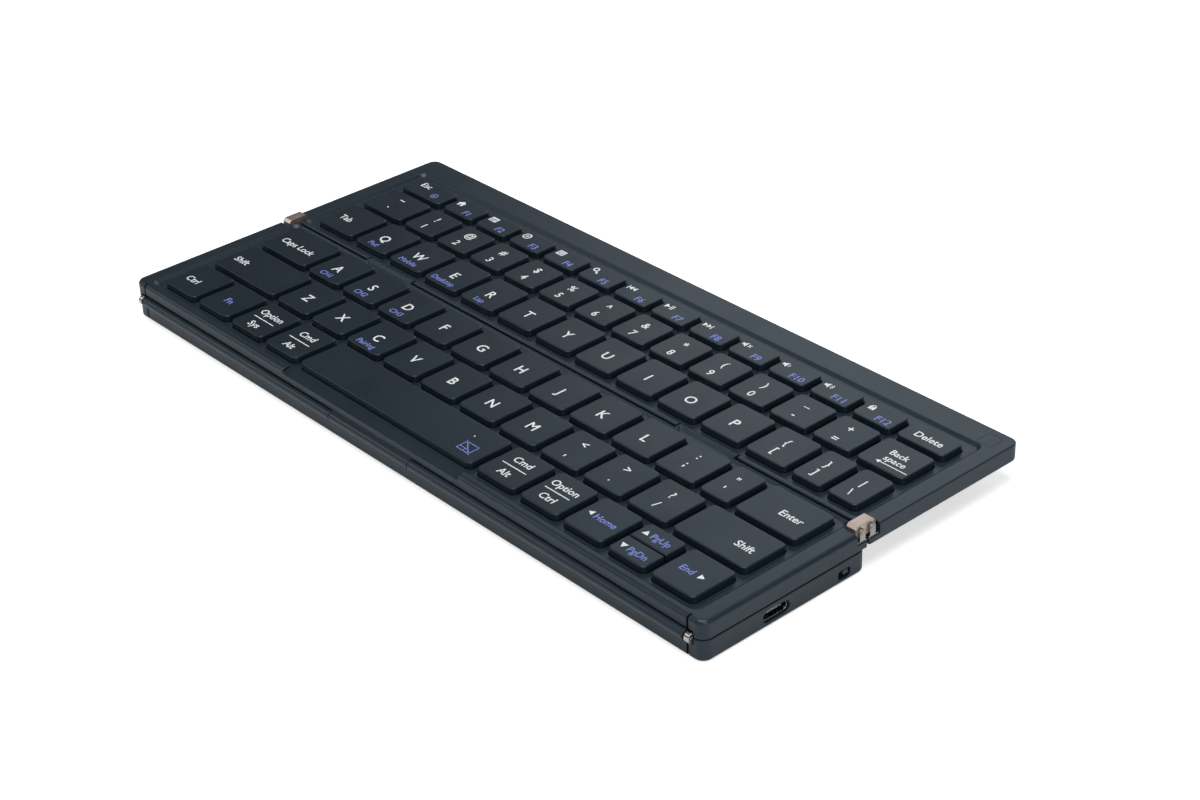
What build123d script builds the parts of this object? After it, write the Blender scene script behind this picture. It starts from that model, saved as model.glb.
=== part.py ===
from build123d import *
import math
import os

os.makedirs("parts", exist_ok=True)

# Folding keyboard in three slabs. The rear slab (function, number and top letter rows)
# hangs on two double-pivot links behind the middle slab (home row to space bar), and a
# touchpad slab is folded under the middle one on a long barrel hinge at the front.
# Frame: +X to the right, +Y to the rear, +Z up, origin on the table under the centre.

# ---- slab thicknesses and heights -------------------------------------------------
pad_thickness = 6.2          # touchpad slab, lying under the middle slab
slab_thickness = 5.4         # middle and rear slabs, from underside to rim
layer_gap = 0.2              # air between the touchpad slab and the middle slab
deck_drop = 0.8              # deck between the keys, below the rim
deck_thickness = 0.9
key_rise = 1.2               # key tops above the rim
cover_thickness = 0.8        # bottom covers of the middle and rear slabs
key_plate_thickness = 0.4
film_thickness = 0.25        # printed contact film under the rubber domes

slab_z = pad_thickness + layer_gap
rim_z = slab_z + slab_thickness
deck_z = rim_z - deck_drop
ceiling_z = deck_z - deck_thickness
key_top_z = rim_z + key_rise
cover_top_z = slab_z + cover_thickness
plate_top_z = cover_top_z + key_plate_thickness
film_top_z = plate_top_z + film_thickness

# ---- keys -------------------------------------------------------------------------
key_travel = 1.6
key_height = 3.3             # from the skirt's lower edge to the top
key_cap = 1.0                # thickness of a key's top
key_skirt = 0.9              # thickness of a key's side
key_corner = 1.6
key_edge = 0.35              # rounding of the top edge
key_play = 0.3               # air round a key in its opening
side_gap = 2.3               # between neighbours in a row
row_gap = 2.2                # between rows
letter_depth = 15.1
number_depth = 13.3
function_depth = 8.6
page_split = 0.5             # groove between the two half-depth page keys
page_corner = 0.5            # their corners at the groove
dome_base = 4.4
dome_top = 2.4
dome_wall = 0.5
dome_squash = 0.1            # left over a dome when its key is pressed home

number_pitch = 15.87
letter_pitch = 16.92
grave_cell = 21.05
backspace_cell = 18.7
tab_cell = 18.85
bracket_cell = 12.7
caps_cell = 24.45
quote_cell = 12.7
shift_cell = 32.75
ctrl_cell = 17.25
fn_cell = 16.9
option_cell = 17.0
command_cell = 17.1
space_cell = 77.8
right_command_cell = 17.4
right_option_cell = 16.8
home_cell = 16.8
page_cell = 15.6

key_bottom_z = key_top_z - key_height
dome_top_z = key_top_z - key_cap - key_travel - dome_squash

# ---- slab outlines ----------------------------------------------------------------
side_margin = 7.7            # key field to the side of the slab
field_shift = 0.65           # the key field lies a little right of centre
middle_front_margin = 4.7    # front face to the bottom row
middle_rear_margin = 2.85    # home row to the seam
rear_front_margin = 3.4      # seam to the top letter row
rear_rear_margin = 13.0      # function row to the rear edge
seam_gap = 0.6
pad_short = 0.25             # the touchpad slab stops this far short of the seam

field_width = grave_cell + 12 * number_pitch + backspace_cell
field_left = field_shift - field_width / 2
field_right = field_shift + field_width / 2
body_width = field_width + 2 * side_margin
half_width = body_width / 2
middle_depth = middle_front_margin + 3 * letter_depth + 2 * row_gap + middle_rear_margin
rear_depth = (
    rear_front_margin + letter_depth + number_depth + function_depth + 2 * row_gap + rear_rear_margin
)

# ---- front hinge ------------------------------------------------------------------
barrel_radius = 1.5
barrel_offset = 0.15         # hinge axis in front of the slabs' front faces
barrel_clear = 0.5           # groove round a barrel, radially
barrel_wall = 1.1            # case wall left behind the groove
knuckle_left = -24.0         # middle slab's own knuckle, under the space bar
knuckle_right = 11.0
knuckle_gap = 0.2
barrel_inset = 5.695         # side of the slab to the end of the long outer barrels
end_slot = 0.8               # slot beside each barrel end, through both layers
slot_depth = 1.6
end_knuckle_width = 1.5
rod_radius = 0.6
running_fit = 0.05

depth = barrel_radius + barrel_offset + middle_depth + seam_gap + rear_depth
front_y = -depth / 2 + barrel_radius + barrel_offset
middle_rear_y = front_y + middle_depth
rear_front_y = middle_rear_y + seam_gap
rear_y = rear_front_y + rear_depth
pad_rear_y = middle_rear_y - pad_short
seam_y = (middle_rear_y + rear_front_y) / 2
axis_y = front_y - barrel_offset
axis_z = slab_z - layer_gap / 2
groove_radius = barrel_radius + barrel_clear
barrel_reach = half_width - barrel_inset
end_knuckle_x = barrel_reach + end_slot

# ---- rims and wells ---------------------------------------------------------------
side_rim = 5.0
rear_rim = 8.4
seam_rim_middle = 0.4
seam_rim_rear = 1.1
front_rim = 2.5
bevel_run = 1.0              # sloping step from rim to deck
well_corner = 2.6
outer_corner = 2.9
seam_corner = 0.6
bottom_round = 0.9
top_round = 1.2              # rolled front edge of the middle slab
top_break = 0.3
case_wall = 1.4
cover_fit = 0.1
scoop_drop = 1.0             # thumb scoop in the front rim, below the deck
scoop_left = -47.0
scoop_right = 31.0

# ---- cable tabs at the seam -------------------------------------------------------
tab_reach = 1.5
tab_gap = 0.75
tab_spans = [(-82.5, -61.5), (53.5, 75.2)]

# ---- rear hinge -------------------------------------------------------------------
pin_spacing = 3.7
pin_depth = 0.45             # pin axes below the rim
pin_radius = 0.55
pin_inset = 0.2              # side of the slab to the pin's end
link_width = 3.2
link_length = 7.2
link_top = 1.8               # above the pin axes
link_bottom = 1.75           # below the pin axes
link_chamfer = 0.8
link_round = 1.2
link_inset = 1.2             # side of the slab to the link's outer face
link_play = 0.3
pocket_reach = 0.55          # pocket beyond the link's end
foot_clear = 0.65            # link to the bracket's foot
foot_thickness = 0.5
ear_thickness = 0.7
ear_radius = 0.95
ear_gap = 0.15
corner_block = 7.0           # solid plastic round each pocket

pin_z = rim_z - pin_depth
front_pin_y = seam_y - pin_spacing / 2
rear_pin_y = seam_y + pin_spacing / 2
link_outer_x = half_width - link_inset
link_inner_x = link_outer_x - link_width
pocket_x = link_inner_x - link_play
pocket_half = link_length / 2 + pocket_reach
foot_top_z = pin_z - link_bottom - foot_clear
pocket_z = foot_top_z - foot_thickness

# ---- bottom cover screws ----------------------------------------------------------
screw_head = 2.4
screw_head_height = 0.5
screw_shank = 1.4
screw_length = 2.6
boss_diameter = 3.2
boss_inset = 4.5             # side of the slab to the screw line
rear_boss_inset = 5.6        # rear edge to the rear screw line
rear_boss_spacing = 73.0

# ---- touchpad slab ----------------------------------------------------------------
pad_wall = 3.0
pad_roof = 1.0
bezel_recess = 0.3
bezel_thickness = 0.9
touch_width = 110.0
touch_border = 3.525         # housing wall to the touch surface, front and rear
touch_thickness = 0.7
touch_fit = 0.1
touch_corner = 3.0
sensor_thickness = 0.6
sensor_inset = 0.6
battery_width = 90.0
battery_border = 5.525       # housing wall to the battery, front and rear
battery_thickness = 2.8
battery_x = -48.0
battery_gap = 0.1
board_thickness = 0.8
board_width = 34.0
board_border = 3.525         # housing wall to the main board, front and rear
board_gap = 0.4
post_diameter = 3.0
port_y = -32.15
port_z = 3.1
port_width = 8.9
port_height = 3.2
port_length = 7.3
port_shell = 0.3
port_inset = 0.8
port_play = 0.2
switch_y = -8.25
switch_z = 2.6
switch_window = 4.4
switch_window_height = 2.8
switch_travel = 2.0
knob_width = 1.7
knob_height = 1.3
knob_inset = 0.4
switch_body_width = 6.0
switch_body_height = 2.4
switch_body_depth = 3.0

# ---- small trim -------------------------------------------------------------------
inlay_width = 5.0
inlay_depth = 5.5
inlay_thickness = 0.3
inlay_side = 3.5
inlay_rear = 2.6

pad_roof_z = pad_thickness - pad_roof
cavity_front_y = axis_y + groove_radius + barrel_wall
pad_mid_y = (cavity_front_y + pad_rear_y - pad_wall) / 2
pad_room = pad_rear_y - pad_wall - cavity_front_y
touch_depth = pad_room - 2 * touch_border
battery_depth = pad_room - 2 * battery_border
board_depth = pad_room - 2 * board_border


def keep(part, name):
    """Label a finished piece and write it."""
    part.label = name
    export_step(part, f"parts/{name}.step")


def block(x0, x1, y0, y1, z0, z1, mode=Mode.ADD):
    """A plain block between two corners, in the part being built."""
    with BuildSketch(Plane.XY.offset(z0)) as outline:
        with Locations(((x0 + x1) / 2, (y0 + y1) / 2)):
            Rectangle(x1 - x0, y1 - y0)
    extrude(outline.sketch, amount=z1 - z0, mode=mode)


def rod(x0, x1, y, z, radius, mode=Mode.ADD):
    """A cylinder along X, in the part being built."""
    with BuildSketch(Plane.YZ.offset(x0)) as outline:
        with Locations((y, z)):
            Circle(radius)
    extrude(outline.sketch, amount=x1 - x0, mode=mode)


# ---- where each key stands --------------------------------------------------------
def row_cells(cells, count, pitch, tail=()):
    """Key edges left to right: leading cells, an even run, trailing cells, the rest."""
    widths = list(cells) + [pitch] * count + list(tail)
    bounds = [field_left]
    for width in widths:
        bounds.append(bounds[-1] + width)
    bounds.append(field_right)
    return [(a + side_gap / 2, b - side_gap / 2) for a, b in zip(bounds, bounds[1:])]


bottom_y = front_y + middle_front_margin
lower_letter_y = bottom_y + letter_depth + row_gap
home_y = lower_letter_y + letter_depth + row_gap
upper_letter_y = rear_front_y + rear_front_margin
number_y = upper_letter_y + letter_depth + row_gap
function_y = number_y + number_depth + row_gap

bottom_cells = [
    ctrl_cell, fn_cell, option_cell, command_cell, space_cell,
    right_command_cell, right_option_cell, home_cell, page_cell,
]
function_names = ["esc"] + [f"f{n}" for n in range(1, 13)] + ["delete"]
number_names = ["grave"] + list("1234567890") + ["minus", "equals", "backspace"]
upper_names = ["tab"] + list("qwertyuiop") + ["open_bracket", "close_bracket", "backslash"]
home_names = ["caps_lock"] + list("asdfghjkl") + ["semicolon", "quote", "enter"]
lower_names = ["left_shift"] + list("zxcvbnm") + ["comma", "period", "slash", "right_shift"]
bottom_names = [
    "left_ctrl", "fn", "left_option", "left_command", "space",
    "right_command", "right_option", "home", "page", "end",
]

keys = {}
for names, spans, y, deep in (
    (function_names, row_cells([grave_cell], 12, number_pitch), function_y, function_depth),
    (number_names, row_cells([grave_cell], 12, number_pitch), number_y, number_depth),
    (upper_names, row_cells([tab_cell], 11, letter_pitch, [bracket_cell]), upper_letter_y, letter_depth),
    (home_names, row_cells([caps_cell], 10, letter_pitch, [quote_cell]), home_y, letter_depth),
    (lower_names, row_cells([shift_cell], 10, letter_pitch), lower_letter_y, letter_depth),
    (bottom_names, row_cells(bottom_cells, 0, letter_pitch), bottom_y, letter_depth),
):
    for name, (x0, x1) in zip(names, spans):
        keys[name] = (x0, x1, y, y + deep)

page_x0, page_x1, page_y0, page_y1 = keys.pop("page")
page_half = (page_y1 - page_y0 - page_split) / 2
keys["page_down"] = (page_x0, page_x1, page_y0, page_y0 + page_half)
keys["page_up"] = (page_x0, page_x1, page_y1 - page_half, page_y1)

rear_keys = [keys[n] for n in function_names + number_names + upper_names]
whole_keys = [keys[n] for n in home_names + lower_names + bottom_names if n in keys]
middle_keys = whole_keys + [keys["page_down"], keys["page_up"]]
middle_openings = whole_keys + [(page_x0, page_x1, page_y0, page_y1)]


def key_openings(spots):
    """Openings in a deck, one round every key or pair of half keys."""
    with BuildSketch(Plane.XY.offset(ceiling_z)) as openings:
        for x0, x1, y0, y1 in spots:
            with Locations(((x0 + x1) / 2, (y0 + y1) / 2)):
                RectangleRounded(x1 - x0 + 2 * key_play, y1 - y0 + 2 * key_play, key_corner + key_play)
    extrude(openings.sketch, amount=deck_z - ceiling_z, mode=Mode.SUBTRACT)


def well(y0, y1):
    """Shallow well with sloping sides, from the rim down to the deck."""
    with BuildSketch(Plane.XY.offset(rim_z)) as mouth:
        with Locations((0, (y0 + y1) / 2)):
            RectangleRounded(body_width - 2 * side_rim, y1 - y0, well_corner)
    with BuildSketch(Plane.XY.offset(deck_z)) as floor:
        with Locations((0, (y0 + y1) / 2)):
            RectangleRounded(
                body_width - 2 * side_rim - 2 * bevel_run, y1 - y0 - 2 * bevel_run, well_corner - bevel_run
            )
    loft([mouth.sketch, floor.sketch], ruled=True, mode=Mode.SUBTRACT)


def inside(y0, y1, z0, z1, seam_side, shrink=0.0, mode=Mode.SUBTRACT):
    """The room inside a slab, or a plate that fits it: open but for the hinge corners."""
    half = half_width - case_wall - shrink
    with BuildSketch(Plane.XY.offset(z0)) as outline:
        with Locations((0, (y0 + y1) / 2)):
            Rectangle(2 * half, y1 - y0 - 2 * shrink)
        for side in (-1, 1):
            with Locations((side * half_width, y0 if seam_side < 0 else y1)):
                Rectangle(2 * (corner_block + shrink), 2 * (corner_block + shrink), mode=Mode.SUBTRACT)
    extrude(outline.sketch, amount=z1 - z0, mode=mode)


def hinge_pockets(y0, y1):
    """Pockets for links and brackets at both ends of a seam edge, open to the side."""
    for side in (-1, 1):
        x0, x1 = sorted((side * pocket_x, side * (half_width + 1)))
        block(x0, x1, y0, y1, pocket_z, rim_z + 1, mode=Mode.SUBTRACT)


def bosses(spots):
    """Screw bosses under the deck, with their pilot holes."""
    with BuildSketch(Plane.XY.offset(cover_top_z)) as posts:
        with Locations(*spots):
            Circle(boss_diameter / 2)
    extrude(posts.sketch, amount=ceiling_z - cover_top_z)
    with BuildSketch(Plane.XY.offset(cover_top_z)) as holes:
        with Locations(*spots):
            Circle(screw_shank / 2)
    extrude(holes.sketch, amount=screw_length - (cover_thickness - screw_head_height), mode=Mode.SUBTRACT)


boss_x = half_width - boss_inset
rear_spots = [(s * boss_x, number_y + number_depth / 2) for s in (-1, 1)]
rear_spots += [((n - 1.5) * rear_boss_spacing, rear_y - rear_boss_inset) for n in range(4)]
middle_spots = [(s * boss_x, y) for s in (-1, 1) for y in (bottom_y + 6, home_y - row_gap)]


# ---- rear slab: top frame ---------------------------------------------------------
# One moulding: outer walls, rim, deck with a key opening for every key of three rows.
rear_cavity_y = rear_front_y + tab_reach + barrel_wall
with BuildPart() as rear_top_frame:
    block(-half_width, half_width, rear_front_y, rear_y, slab_z, rim_z)
    uprights = rear_top_frame.edges().filter_by(Axis.Z).sort_by(Axis.Y)
    fillet(uprights[-2:], outer_corner)
    fillet(rear_top_frame.edges().filter_by(Axis.Z).sort_by(Axis.Y)[:2], seam_corner)
    fillet(rear_top_frame.faces().sort_by(Axis.Z)[0].edges(), bottom_round)
    chamfer(rear_top_frame.faces().sort_by(Axis.Z)[-1].edges(), top_break)
    inside(rear_cavity_y, rear_y - case_wall, slab_z, ceiling_z, -1)
    bosses(rear_spots)
    well(rear_front_y + seam_rim_rear, rear_y - rear_rim)
    key_openings(rear_keys)
    hinge_pockets(rear_front_y - 1, seam_y + pocket_half)
    for x0, x1 in tab_spans:
        block(
            x0 - tab_gap, x1 + tab_gap, rear_front_y - 1, middle_rear_y + tab_reach + tab_gap,
            slab_z, rim_z, mode=Mode.SUBTRACT,
        )
    with BuildSketch(Plane.XY.offset(rim_z)):
        with Locations((half_width - inlay_side - inlay_width / 2, rear_y - inlay_rear - inlay_depth / 2)):
            RectangleRounded(inlay_width, inlay_depth, 0.8)
    extrude(amount=-inlay_thickness, mode=Mode.SUBTRACT)
keep(rear_top_frame.part, "rear_top_frame")

# Small smooth window let into the rear right corner of the rim.
with BuildPart() as rim_inlay:
    with BuildSketch(Plane.XY.offset(rim_z - inlay_thickness)):
        with Locations((half_width - inlay_side - inlay_width / 2, rear_y - inlay_rear - inlay_depth / 2)):
            RectangleRounded(inlay_width - 0.1, inlay_depth - 0.1, 0.75)
    extrude(amount=inlay_thickness)
keep(rim_inlay.part, "rim_inlay")


# ---- middle slab: top frame -------------------------------------------------------
# As the rear one, with the hinge knuckle under the space bar, grooves for the touchpad
# slab's barrels, cable tabs at the seam and a thumb scoop in the front rim.
with BuildPart() as middle_top_frame:
    block(-half_width, half_width, front_y, middle_rear_y, slab_z, rim_z)
    fillet(middle_top_frame.edges().filter_by(Axis.Z).sort_by(Axis.Y)[:2], outer_corner)
    fillet(middle_top_frame.edges().filter_by(Axis.Z).sort_by(Axis.Y)[-2:], seam_corner)
    roof = middle_top_frame.faces().sort_by(Axis.Z)[-1].edges().sort_by(Axis.Y)
    fillet(roof[:3], top_round)
    fillet(middle_top_frame.faces().sort_by(Axis.Z)[0].edges(), bottom_round / 2)
    for x0, x1 in tab_spans:
        block(x0, x1, middle_rear_y - 1.5, middle_rear_y + tab_reach, slab_z, rim_z)
    inside(cavity_front_y, middle_rear_y - barrel_wall, slab_z, ceiling_z, 1)
    bosses(middle_spots)
    well(front_y + front_rim, middle_rear_y - seam_rim_middle)
    for x0, x1 in tab_spans:
        tab_back = middle_rear_y + tab_reach - seam_rim_middle
        with BuildSketch(Plane.XY.offset(rim_z)):
            with Locations(((x0 + x1) / 2, tab_back - 2)):
                Rectangle(x1 - x0 - 2 * seam_rim_middle, 4)
        with BuildSketch(Plane.XY.offset(deck_z)):
            with Locations(((x0 + x1) / 2, tab_back - bevel_run - 2)):
                Rectangle(x1 - x0 - 2 * seam_rim_middle - 2 * bevel_run, 4)
        loft(mode=Mode.SUBTRACT)
    key_openings(middle_openings)
    hinge_pockets(seam_y - pocket_half, middle_rear_y + 1)
    with BuildSketch(Plane.YZ.offset(scoop_left)):
        with BuildLine():
            Polyline(
                (front_y - 1, rim_z + 1),
                (front_y - 1, deck_z - scoop_drop),
                (front_y + front_rim + bevel_run, deck_z),
                (front_y + front_rim + bevel_run, rim_z + 1),
                close=True,
            )
        make_face()
    extrude(amount=scoop_right - scoop_left, mode=Mode.SUBTRACT)
    for x0, x1 in (
        (-end_knuckle_x - end_knuckle_width - knuckle_gap, knuckle_left),
        (knuckle_right, end_knuckle_x + end_knuckle_width + knuckle_gap),
    ):
        rod(x0, x1, axis_y, axis_z, groove_radius, mode=Mode.SUBTRACT)
    rod(knuckle_left + knuckle_gap, knuckle_right - knuckle_gap, axis_y, axis_z, barrel_radius)
    rod(knuckle_left, knuckle_right, axis_y, axis_z, rod_radius + running_fit, mode=Mode.SUBTRACT)
    for side in (-1, 1):
        x0, x1 = sorted((side * barrel_reach, side * end_knuckle_x))
        block(x0, x1, front_y - 1, front_y + slot_depth, slab_z, rim_z, mode=Mode.SUBTRACT)
keep(middle_top_frame.part, "middle_top_frame")


# ---- bottom covers, key plates and dome sheets ------------------------------------
def bottom_cover(y0, y1, seam_side, spots, name):
    """Flat moulded cover, let in flush from below and held by countersunk screws."""
    with BuildPart() as cover:
        inside(y0, y1, slab_z, cover_top_z, seam_side, shrink=cover_fit, mode=Mode.ADD)
        with BuildSketch(Plane.XY.offset(slab_z)):
            with Locations(*spots):
                Circle(screw_head / 2)
        extrude(amount=screw_head_height, mode=Mode.SUBTRACT)
        with BuildSketch(Plane.XY.offset(slab_z)):
            with Locations(*spots):
                Circle(screw_shank / 2)
        extrude(amount=cover_thickness, mode=Mode.SUBTRACT)
    keep(cover.part, name)


bottom_cover(rear_cavity_y, rear_y - case_wall, -1, rear_spots, "rear_bottom_cover")
bottom_cover(cavity_front_y, middle_rear_y - barrel_wall, 1, middle_spots, "middle_bottom_cover")


def cover_screws(spots, name):
    """Flat-headed screws from below, up through the cover into the frame's bosses."""
    with BuildPart() as screws:
        with BuildSketch(Plane.XY.offset(slab_z)):
            with Locations(*spots):
                Circle(screw_head / 2)
        extrude(amount=screw_head_height)
        with BuildSketch(Plane.XY.offset(slab_z + screw_head_height)):
            with Locations(*spots):
                Circle(screw_shank / 2)
        extrude(amount=screw_length)
    keep(screws.part, name)


cover_screws(rear_spots, "rear_cover_screws")
cover_screws(middle_spots, "middle_cover_screws")


def plate_outline(spots):
    """Least rectangle that carries a set of keys."""
    x0 = min(s[0] for s in spots)
    x1 = max(s[1] for s in spots)
    y0 = min(s[2] for s in spots)
    y1 = max(s[3] for s in spots)
    return x0, x1, y0, y1


def key_plate(spots, name):
    """Thin steel plate lying on the bottom cover under the keys."""
    with BuildPart() as plate:
        x0, x1, y0, y1 = plate_outline(spots)
        block(x0, x1, y0, y1, cover_top_z, plate_top_z)
    keep(plate.part, name)


def dome_sheet(spots, name):
    """Contact film with a rubber dome under every key, at its height when pressed."""
    with BuildPart() as sheet:
        x0, x1, y0, y1 = plate_outline(spots)
        block(x0, x1, y0, y1, plate_top_z, film_top_z)
        with BuildPart(mode=Mode.PRIVATE) as dome:
            with BuildSketch(Plane.XZ):
                with BuildLine():
                    Polyline(
                        (0, dome_top_z),
                        (dome_top / 2, dome_top_z),
                        (dome_base / 2, film_top_z),
                        (dome_base / 2 - dome_wall, film_top_z),
                        (dome_top / 2 - dome_wall, dome_top_z - dome_wall),
                        (0, dome_top_z - dome_wall),
                        close=True,
                    )
                make_face()
            revolve(axis=Axis.Z)
        with Locations(*[((x0 + x1) / 2, (y0 + y1) / 2) for x0, x1, y0, y1 in spots]):
            add(dome.part)
    keep(sheet.part, name)


key_plate(rear_keys, "rear_key_plate")
key_plate(middle_keys, "middle_key_plate")
dome_sheet(rear_keys, "rear_dome_sheet")
dome_sheet(middle_keys, "middle_dome_sheet")


# ---- keys -------------------------------------------------------------------------
def key_caps(names, title):
    """Hollow key caps with square skirts and a softly rounded top edge."""
    with BuildPart() as caps:
        for name in names:
            x0, x1, y0, y1 = keys[name]
            with BuildSketch(Plane.XY.offset(key_bottom_z)) as outline:
                with Locations(((x0 + x1) / 2, (y0 + y1) / 2)):
                    Rectangle(x1 - x0, y1 - y0)
                front_round = page_corner if name == "page_up" else key_corner
                rear_round = page_corner if name == "page_down" else key_corner
                fillet(outline.vertices().sort_by(Axis.Y)[:2], front_round)
                fillet(outline.vertices().sort_by(Axis.Y)[-2:], rear_round)
            extrude(amount=key_height)
        fillet(caps.edges().group_by(Axis.Z)[-1], key_edge)
        for x0, x1, y0, y1 in [keys[n] for n in names]:
            block(
                x0 + key_skirt, x1 - key_skirt, y0 + key_skirt, y1 - key_skirt,
                key_bottom_z, key_top_z - key_cap, mode=Mode.SUBTRACT,
            )
    keep(caps.part, title)


for single in (
    "esc", "delete", "backspace", "tab", "backslash", "caps_lock", "enter", "left_shift",
    "right_shift", "left_ctrl", "fn", "left_option", "left_command", "space",
    "right_command", "right_option", "home", "page_up", "page_down", "end",
):
    key_caps([single], f"key_{single}")

key_caps(function_names[1:7], "keys_f1_to_f6")
key_caps(function_names[7:13], "keys_f7_to_f12")
key_caps(number_names[0:5], "keys_grave_to_4")
key_caps(number_names[5:9], "keys_5_to_8")
key_caps(number_names[9:13], "keys_9_to_equals")
key_caps(upper_names[1:5], "keys_q_to_r")
key_caps(upper_names[5:9], "keys_t_to_i")
key_caps(upper_names[9:13], "keys_o_to_brackets")
key_caps(home_names[1:5], "keys_a_to_f")
key_caps(home_names[5:9], "keys_g_to_k")
key_caps(home_names[9:12], "keys_l_to_quote")
key_caps(lower_names[1:5], "keys_z_to_v")
key_caps(lower_names[5:8], "keys_b_to_m")
key_caps(lower_names[8:11], "keys_comma_to_slash")


# ---- rear hinge: brackets, links and pins -----------------------------------------
def hinge_brackets(pin_y, y0, y1, name):
    """Pressed steel: a foot in the bottom of each pocket, an ear outside the link."""
    with BuildPart() as brackets:
        for side in (-1, 1):
            ear0, ear1 = sorted(
                (side * (link_outer_x + ear_gap), side * (link_outer_x + ear_gap + ear_thickness))
            )
            foot0, foot1 = sorted((side * (pocket_x + cover_fit), side * (link_outer_x + ear_gap + ear_thickness)))
            block(foot0, foot1, y0, y1, pocket_z, foot_top_z)
            block(ear0, ear1, pin_y - ear_radius, pin_y + ear_radius, pocket_z, pin_z)
            rod(ear0, ear1, pin_y, pin_z, ear_radius)
            rod(ear0, ear1, pin_y, pin_z, pin_radius + running_fit, mode=Mode.SUBTRACT)
    keep(brackets.part, name)


hinge_brackets(
    front_pin_y, seam_y - pocket_half + cover_fit, middle_rear_y - cover_fit, "middle_hinge_brackets"
)
hinge_brackets(
    rear_pin_y, rear_front_y + cover_fit, seam_y + pocket_half - cover_fit, "rear_hinge_brackets"
)

# Nickel-plated links, one at each end of the seam, bored for two pins each.
with BuildPart() as hinge_links:
    for side in (-1, 1):
        x0, x1 = sorted((side * link_inner_x, side * link_outer_x))
        y0, y1 = seam_y - link_length / 2, seam_y + link_length / 2
        z0, z1 = pin_z - link_bottom, pin_z + link_top
        with BuildSketch(Plane.YZ.offset(x0)) as profile:
            with Locations(((y0 + y1) / 2, (z0 + z1) / 2)):
                Rectangle(y1 - y0, z1 - z0)
            chamfer(profile.vertices().sort_by(Axis.Y)[-2:], link_chamfer)
            fillet(profile.vertices().sort_by(Axis.Y)[:2], link_round)
        extrude(amount=x1 - x0)
        for pin_y in (front_pin_y, rear_pin_y):
            rod(x0, x1, pin_y, pin_z, pin_radius, mode=Mode.SUBTRACT)
keep(hinge_links.part, "hinge_links")


# Steel pins pressed into the links and turning in the brackets' ears, four in all.
with BuildPart() as hinge_pins:
    for side in (-1, 1):
        x0, x1 = sorted((side * link_inner_x, side * (half_width - pin_inset)))
        for pin_y in (front_pin_y, rear_pin_y):
            rod(x0, x1, pin_y, pin_z, pin_radius)
keep(hinge_pins.part, "hinge_pins")


# ---- touchpad slab ----------------------------------------------------------------
# Housing: walls and back in one moulding, open on the touch side, with the two long
# hinge barrels along its front edge.
with BuildPart() as touchpad_housing:
    block(-half_width, half_width, front_y, pad_rear_y, 0, pad_thickness)
    fillet(touchpad_housing.edges().filter_by(Axis.Z), outer_corner)
    fillet(touchpad_housing.faces().sort_by(Axis.Z)[0].edges(), bottom_round)
    fillet(touchpad_housing.faces().sort_by(Axis.Z)[-1].edges(), top_break)
    block(
        -half_width + pad_wall, half_width - pad_wall, cavity_front_y, pad_rear_y - pad_wall,
        0, pad_roof_z, mode=Mode.SUBTRACT,
    )
    with BuildSketch(Plane.XY.offset(port_z + board_thickness / 2)):
        with Locations(
            (half_width - pad_wall - board_width + 4, port_y),
            (half_width - pad_wall - board_width + 4, switch_y - 2),
        ):
            Circle(post_diameter / 2)
    extrude(amount=pad_roof_z - port_z - board_thickness / 2)
    rod(knuckle_left, knuckle_right, axis_y, axis_z, groove_radius, mode=Mode.SUBTRACT)
    for side in (-1, 1):
        x0, x1 = sorted((side * barrel_reach, side * (end_knuckle_x + end_knuckle_width + knuckle_gap)))
        rod(x0, x1, axis_y, axis_z, groove_radius, mode=Mode.SUBTRACT)
        x0, x1 = sorted((side * barrel_reach, side * end_knuckle_x))
        block(x0, x1, front_y - 1, front_y + slot_depth, 0, pad_thickness, mode=Mode.SUBTRACT)
    rod(-barrel_reach, knuckle_left - knuckle_gap, axis_y, axis_z, barrel_radius)
    rod(knuckle_right + knuckle_gap, barrel_reach, axis_y, axis_z, barrel_radius)
    rod(-barrel_reach, barrel_reach, axis_y, axis_z, rod_radius, mode=Mode.SUBTRACT)
    with BuildSketch(Plane.YZ.offset(half_width - pad_wall)):
        with Locations((port_y, port_z)):
            SlotOverall(port_width + 2 * port_play, port_height + 2 * port_play)
        with Locations((switch_y, switch_z)):
            RectangleRounded(switch_window, switch_window_height, 0.9)
    extrude(amount=pad_wall, mode=Mode.SUBTRACT)
keep(touchpad_housing.part, "touchpad_housing")

# Bezel round the touch surface, let in flush but for a little so that the rim stands.
bezel_x = half_width - pad_wall - cover_fit
with BuildPart() as touchpad_bezel:
    block(
        -bezel_x, bezel_x, cavity_front_y + cover_fit, pad_rear_y - pad_wall - cover_fit,
        bezel_recess, bezel_recess + bezel_thickness,
    )
    with BuildSketch(Plane.XY.offset(bezel_recess)):
        with Locations((0, pad_mid_y)):
            RectangleRounded(touch_width, touch_depth, touch_corner)
    extrude(amount=bezel_thickness, mode=Mode.SUBTRACT)
keep(touchpad_bezel.part, "touchpad_bezel")

with BuildPart() as touchpad_surface:
    with BuildSketch(Plane.XY.offset(bezel_recess)):
        with Locations((0, pad_mid_y)):
            RectangleRounded(touch_width - 2 * touch_fit, touch_depth - 2 * touch_fit, touch_corner)
    extrude(amount=touch_thickness)
keep(touchpad_surface.part, "touchpad_surface")

sensor_z = bezel_recess + touch_thickness
with BuildPart() as touch_sensor_board:
    with BuildSketch(Plane.XY.offset(sensor_z)):
        with Locations((0, pad_mid_y)):
            RectangleRounded(touch_width - 2 * sensor_inset, touch_depth - 2 * sensor_inset, touch_corner)
    extrude(amount=sensor_thickness)
keep(touch_sensor_board.part, "touch_sensor_board")

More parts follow.
